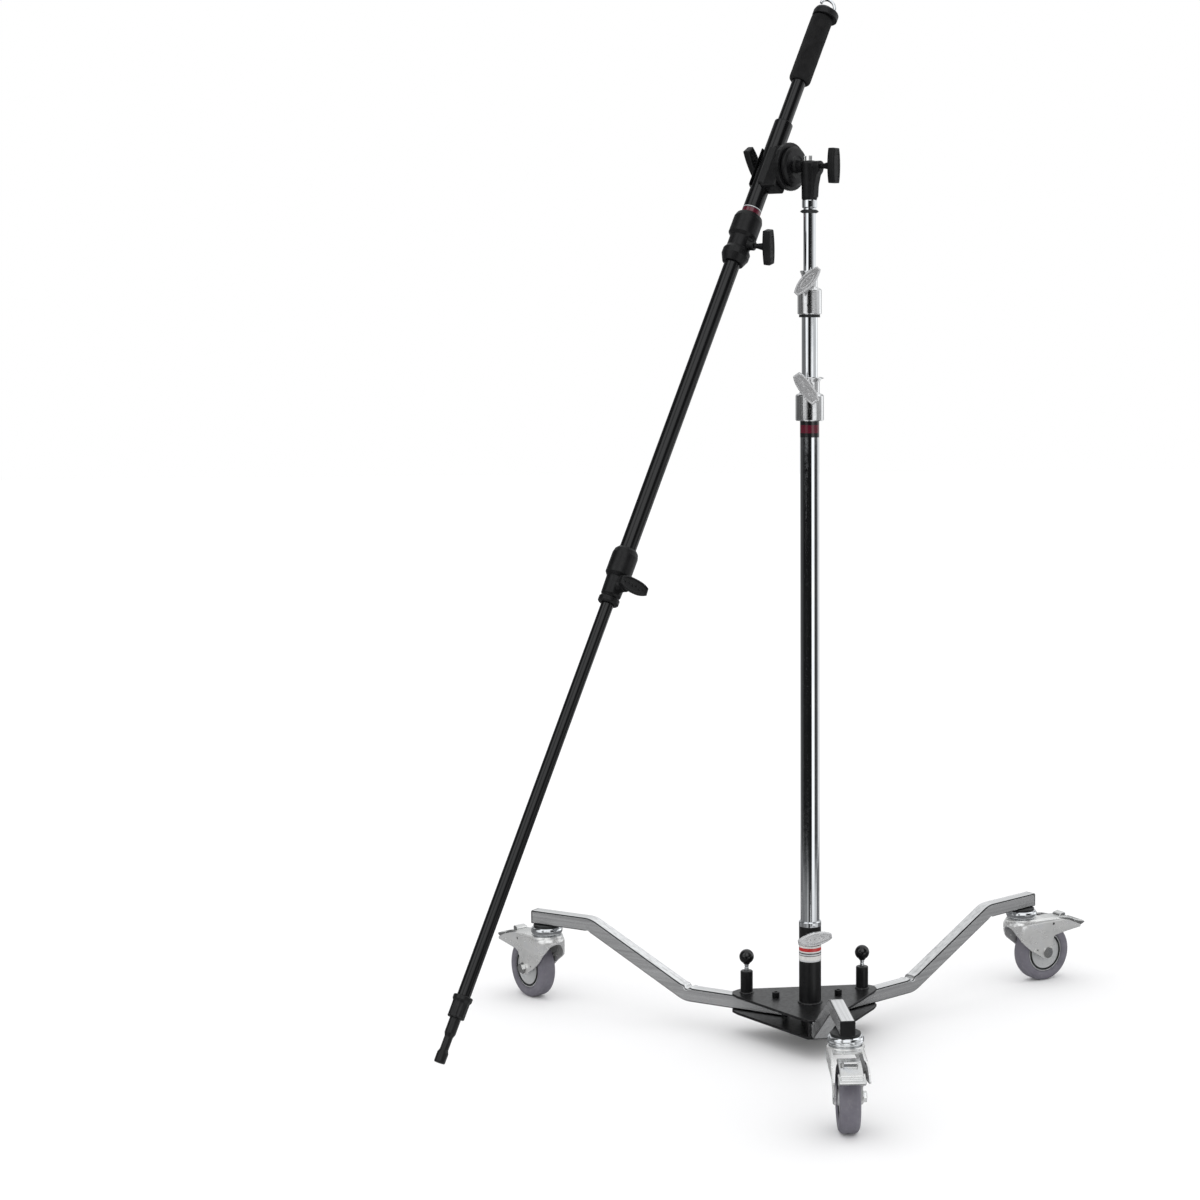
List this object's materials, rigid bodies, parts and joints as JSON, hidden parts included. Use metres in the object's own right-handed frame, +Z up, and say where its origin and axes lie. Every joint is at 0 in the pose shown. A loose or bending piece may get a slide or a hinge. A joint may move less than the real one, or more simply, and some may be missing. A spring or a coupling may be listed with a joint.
{
  "type": "rolling boom stand",
  "caption": "Wheeled stand with folding legs and braked casters, a telescoping column, a pivoting head and a telescoping boom with a foam grip and end pin.",
  "frame": {"origin": "bottom centre of the bounding box, on the floor", "axes": "+Z up along the column; the fixed front leg points along -Y; the side legs point back left and back right; the boom runs down to the left and front"},
  "size_m": [1.1076, 0.933, 1.6633],
  "materials": {
    "black": "black powder coat",
    "chrome": "polished chrome plate",
    "foam": "black foam",
    "gloss": "gloss black moulded",
    "hub": "light grey moulded",
    "plastic": "black moulded",
    "satin": "bright satin cast",
    "tyre": "grey non-marking rubber",
    "zinc": "bright zinc plate"
  },
  "bodies": {
    "base": {"base_plate_upper": "black", "base_plate_lower": "black", "base_web": "black", "base_socket": "black", "socket_ring": "chrome", "leg_pivot_bolt_left": "black", "leg_pivot_bolt_right": "black", "plunger_housing_left": "black", "plunger_housing_right": "black", "leg_front": "chrome", "leg_cap_front": "plastic", "caster_race_front": "chrome"},
    "leg_left_body": {"leg_left": "chrome", "leg_cap_left": "plastic", "caster_race_left": "chrome"},
    "leg_right_body": {"leg_right": "chrome", "leg_cap_right": "plastic", "caster_race_right": "chrome"},
    "column_lower": {"column_lower_tube": "chrome", "column_lower_collar": "satin"},
    "column_mid": {"column_mid_tube": "chrome", "column_upper_collar": "satin", "column_upper_seal": "plastic"},
    "column_top": {"column_top_tube": "chrome", "spigot_washer": "plastic"},
    "head": {"receiver": "black"},
    "cradle": {"friction_disc": "black", "boom_cradle": "black"},
    "boom_outer": {"boom_outer_tube": "black", "boom_handle_tube": "black", "boom_grip": "foam", "boom_end_cap": "plastic", "boom_hook": "chrome", "boom_collar_1": "black"},
    "boom_mid": {"boom_mid_tube": "black", "boom_collar_2": "black"},
    "boom_inner": {"boom_inner_tube": "black", "boom_pin": "black"},
    "plunger_left": {"plunger_pin_left": "gloss"},
    "plunger_right": {"plunger_pin_right": "gloss"},
    "swivel_left": {"caster_fork_left": "zinc"},
    "wheel_left": {"caster_tyre_left": "tyre", "caster_hub_left": "hub"},
    "pedal_left": {"caster_pedal_left": "zinc"},
    "swivel_right": {"caster_fork_right": "zinc"},
    "wheel_right": {"caster_tyre_right": "tyre", "caster_hub_right": "hub"},
    "pedal_right": {"caster_pedal_right": "zinc"},
    "swivel_front": {"caster_fork_front": "zinc"},
    "wheel_front": {"caster_tyre_front": "tyre", "caster_hub_front": "hub"},
    "pedal_front": {"caster_pedal_front": "zinc"},
    "socket_knob_body": {"socket_knob": "satin"},
    "column_lower_knob_body": {"column_lower_knob": "satin"},
    "column_upper_knob_body": {"column_upper_knob": "satin"},
    "receiver_handle_body": {"receiver_handle": "plastic"},
    "cradle_handle_body": {"cradle_handle": "plastic"},
    "boom_collar_1_handle_body": {"boom_collar_1_handle": "plastic"},
    "boom_collar_2_knob_body": {"boom_collar_2_knob": "plastic"}
  },
  "joints": [
    {"name": "leg_fold_left", "type": "hinge", "parent": "base", "child": "leg_left_body", "pos_m": [-0.02534, 0.08701, 0], "axis": [0, 0, 1], "range_deg": [0, 110]},
    {"name": "plunger_pull_left", "type": "slide", "parent": "base", "child": "plunger_left", "axis": [0, 0, 1], "range_m": [0, 0.012], "stiffness_N_per_m": 400, "springref_m": -0.012},
    {"name": "leg_fold_right", "type": "hinge", "parent": "base", "child": "leg_right_body", "pos_m": [0.07527, 0.08701, 0], "axis": [0, 0, 1], "range_deg": [-110, 0]},
    {"name": "plunger_pull_right", "type": "slide", "parent": "base", "child": "plunger_right", "axis": [0, 0, 1], "range_m": [0, 0.012], "stiffness_N_per_m": 400, "springref_m": -0.012},
    {"name": "swivel_turn_left", "type": "hinge", "parent": "leg_left_body", "child": "swivel_left", "pos_m": [-0.38256, 0.35037, 0], "axis": [0, 0, 1], "continuous": true},
    {"name": "wheel_spin_left", "type": "hinge", "parent": "swivel_left", "child": "wheel_left", "pos_m": [-0.40509, 0.38699, 0.05], "axis": [-0.8517, -0.524, 0], "continuous": true},
    {"name": "pedal_press_left", "type": "hinge", "parent": "swivel_left", "child": "pedal_left", "pos_m": [-0.40875, 0.39295, 0.1046], "axis": [-0.8517, -0.524, 0], "range_deg": [0, 12]},
    {"name": "swivel_turn_right", "type": "hinge", "parent": "leg_right_body", "child": "swivel_right", "pos_m": [0.43248, 0.35037, 0], "axis": [0, 0, 1], "continuous": true},
    {"name": "wheel_spin_right", "type": "hinge", "parent": "swivel_right", "child": "wheel_right", "pos_m": [0.47161, 0.3682, 0.05], "axis": [-0.4147, 0.91, 0], "continuous": true},
    {"name": "pedal_press_right", "type": "hinge", "parent": "swivel_right", "child": "pedal_right", "pos_m": [0.47798, 0.3711, 0.1046], "axis": [-0.4147, 0.91, 0], "range_deg": [0, 12]},
    {"name": "swivel_turn_front", "type": "hinge", "parent": "base", "child": "swivel_front", "pos_m": [0.02496, -0.34118, 0], "axis": [0, 0, 1], "continuous": true},
    {"name": "wheel_spin_front", "type": "hinge", "parent": "swivel_front", "child": "wheel_front", "pos_m": [0.02234, -0.3841, 0.05], "axis": [0.9981, -0.061, 0], "continuous": true},
    {"name": "pedal_press_front", "type": "hinge", "parent": "swivel_front", "child": "pedal_front", "pos_m": [0.02191, -0.39109, 0.1046], "axis": [0.9981, -0.061, 0], "range_deg": [0, 12]},
    {"name": "column_lift", "type": "slide", "parent": "base", "child": "column_lower", "axis": [0, 0, 1], "range_m": [0, 0.1]},
    {"name": "mid_riser", "type": "slide", "parent": "column_lower", "child": "column_mid", "axis": [0, 0, 1], "range_m": [-0.085, 0.74]},
    {"name": "top_riser", "type": "slide", "parent": "column_mid", "child": "column_top", "axis": [0, 0, 1], "range_m": [-0.025, 0.78]},
    {"name": "head_pan", "type": "hinge", "parent": "column_top", "child": "head", "pos_m": [0.02496, 0.04992, 0], "axis": [0, 0, 1], "continuous": true},
    {"name": "boom_tilt", "type": "hinge", "parent": "head", "child": "cradle", "pos_m": [-0.03383, 0.10709, 1.383], "axis": [-0.7169, 0.6972, 0], "range_deg": [-2, 120]},
    {"name": "boom_slide", "type": "slide", "parent": "cradle", "child": "boom_outer", "axis": [-0.3538, -0.3639, -0.8616], "range_m": [-0.03, 0.04]},
    {"name": "boom_mid_slide", "type": "slide", "parent": "boom_outer", "child": "boom_mid", "axis": [-0.3538, -0.3639, -0.8616], "range_m": [-0.095, 0]},
    {"name": "boom_inner_slide", "type": "slide", "parent": "boom_mid", "child": "boom_inner", "axis": [-0.3538, -0.3639, -0.8616], "range_m": [-0.55, 0]},
    {"name": "socket_knob_turn", "type": "hinge", "parent": "base", "child": "socket_knob_body", "pos_m": [0.02682, 0.0287, 0.175], "axis": [0.0872, -0.9962, 0], "range_deg": [0, 360]},
    {"name": "column_lower_knob_turn", "type": "hinge", "parent": "column_lower", "child": "column_lower_knob_body", "pos_m": [0.01881, 0.02848, 1.039], "axis": [-0.2756, -0.9613, 0], "range_deg": [0, 360]},
    {"name": "column_upper_knob_turn", "type": "hinge", "parent": "column_mid", "child": "column_upper_knob_body", "pos_m": [0.02062, 0.03111, 1.2045], "axis": [-0.225, -0.9744, 0], "range_deg": [0, 360]},
    {"name": "receiver_handle_turn", "type": "hinge", "parent": "head", "child": "receiver_handle_body", "pos_m": [0.04167, 0.03367, 1.382], "axis": [0.7169, -0.6972, 0], "range_deg": [0, 360]},
    {"name": "cradle_handle_turn", "type": "hinge", "parent": "cradle", "child": "cradle_handle_body", "pos_m": [-0.04555, 0.12415, 1.38989], "axis": [-0.7169, 0.6972, 0], "range_deg": [0, 360]},
    {"name": "boom_collar_1_handle_turn", "type": "hinge", "parent": "boom_outer", "child": "boom_collar_1_handle_body", "pos_m": [-0.06102, 0.04082, 1.25897], "axis": [0.8261, -0.5535, -0.1055], "range_deg": [0, 360]},
    {"name": "boom_collar_2_knob_turn", "type": "hinge", "parent": "boom_mid", "child": "boom_collar_2_knob_body", "pos_m": [-0.27428, -0.17762, 0.75822], "axis": [0.6384, -0.7672, 0.0619], "range_deg": [0, 360]}
  ]
}
